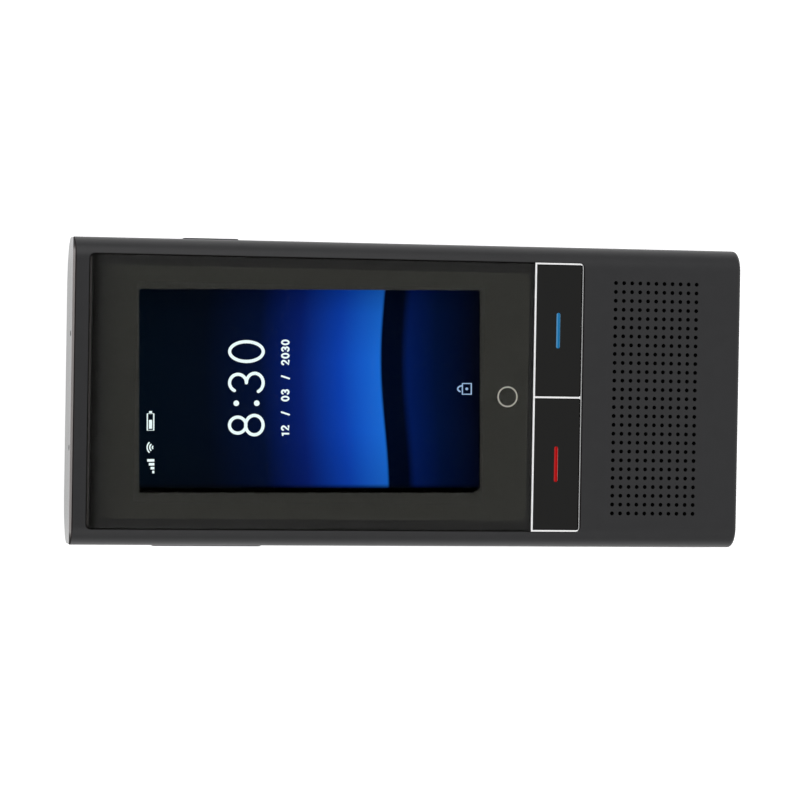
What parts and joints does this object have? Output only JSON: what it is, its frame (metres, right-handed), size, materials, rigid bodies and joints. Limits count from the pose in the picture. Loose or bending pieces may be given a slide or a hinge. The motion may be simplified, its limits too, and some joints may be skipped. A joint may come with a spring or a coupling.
{
  "type": "handheld translator",
  "caption": "Slab-shaped handheld voice translator with a touch display, two talk keys in a bright frame, a drilled speaker grille, side keys and a SIM tray.",
  "frame": {"origin": "centre of the bounding box on the back face, where the device lies on a table", "axes": "+X to the device's right seen from the front, +Y along the length to the microphone end, +Z out of the display"},
  "size_m": [0.06, 0.1332, 0.0131],
  "materials": {
    "housing": "soft-touch satin, charcoal",
    "cap": "smooth satin, charcoal",
    "glass": "polished",
    "mask": "black print behind the glass",
    "ring_print": "pale print",
    "film": "clear protective film",
    "display": "lit display",
    "chrome": "polished",
    "key": "gloss, near black",
    "blue_mark": "gloss blue",
    "red_mark": "gloss red",
    "side_key": "satin, charcoal",
    "adhesive": "black adhesive foam",
    "board": "green solder mask",
    "chip": "black moulded package",
    "steel": "stamped steel",
    "flex": "amber polyimide",
    "cell": "silver-grey pouch",
    "moulding": "black moulding",
    "cone": "pressed cone",
    "mesh": "fine black dust mesh",
    "rubber": "black rubber"
  },
  "bodies": {
    "device": {"front_housing": "housing", "rear_cover": "housing", "top_end_cap": "cap", "cover_glass": "glass", "glass_mask": "mask", "home_ring": "ring_print", "glass_tape": "adhesive", "screen_film": "film", "touch_sensor": "film", "lcd_panel": "display", "lcd_backlight": "steel", "lcd_flex": "flex", "mid_frame": "steel", "button_frame": "chrome", "button_board": "board", "button_switches": "steel", "power_switch": "steel", "volume_switches": "steel", "main_board": "board", "main_chips": "chip", "shield_cans": "steel", "board_connectors": "moulding", "sim_socket": "steel", "battery": "cell", "battery_tape": "adhesive", "battery_flex": "flex", "speaker_frame": "moulding", "speaker_diaphragm": "cone", "speaker_magnet": "steel", "speaker_gasket": "rubber", "speaker_mesh": "mesh", "sub_board": "board", "usb_socket": "steel", "usb_tongue": "moulding", "board_flex": "flex", "vibration_motor": "steel", "microphones": "steel", "microphone_boots": "rubber", "microphone_flex": "flex", "wireless_antenna": "flex", "board_screws": "steel", "button_board_screws": "steel", "sub_board_screws": "steel", "case_screws": "steel"},
    "blue_talk_key": {"blue_key": "key", "blue_mark": "blue_mark", "blue_plunger": "moulding"},
    "red_talk_key": {"red_key": "key", "red_mark": "red_mark", "red_plunger": "moulding"},
    "power_button": {"power_key": "side_key", "power_plunger": "moulding"},
    "volume_button": {"volume_rocker": "side_key", "volume_plungers": "moulding"},
    "tray": {"sim_tray": "side_key"}
  },
  "joints": [
    {"name": "blue_key_press", "type": "slide", "parent": "device", "child": "blue_talk_key", "axis": [0, 0, -1], "range_m": [0, 0.0003], "stiffness_N_per_m": 2000, "springref_m": -0.0002},
    {"name": "red_key_press", "type": "slide", "parent": "device", "child": "red_talk_key", "axis": [0, 0, -1], "range_m": [0, 0.0003], "stiffness_N_per_m": 2000, "springref_m": -0.0002},
    {"name": "power_key_press", "type": "slide", "parent": "device", "child": "power_button", "axis": [-1, 0, 0], "range_m": [0, 0.00025], "stiffness_N_per_m": 2000, "springref_m": -0.0002},
    {"name": "volume_rock", "type": "hinge", "parent": "device", "child": "volume_button", "pos_m": [-0.0273, 0.03953, 0.00665], "axis": [0, 0, 1], "range_deg": [-1.2, 1.2], "stiffness_Nm_per_rad": 0.2},
    {"name": "sim_tray_slide", "type": "slide", "parent": "device", "child": "tray", "axis": [1, 0, 0], "range_m": [0, 0.015]}
  ]
}
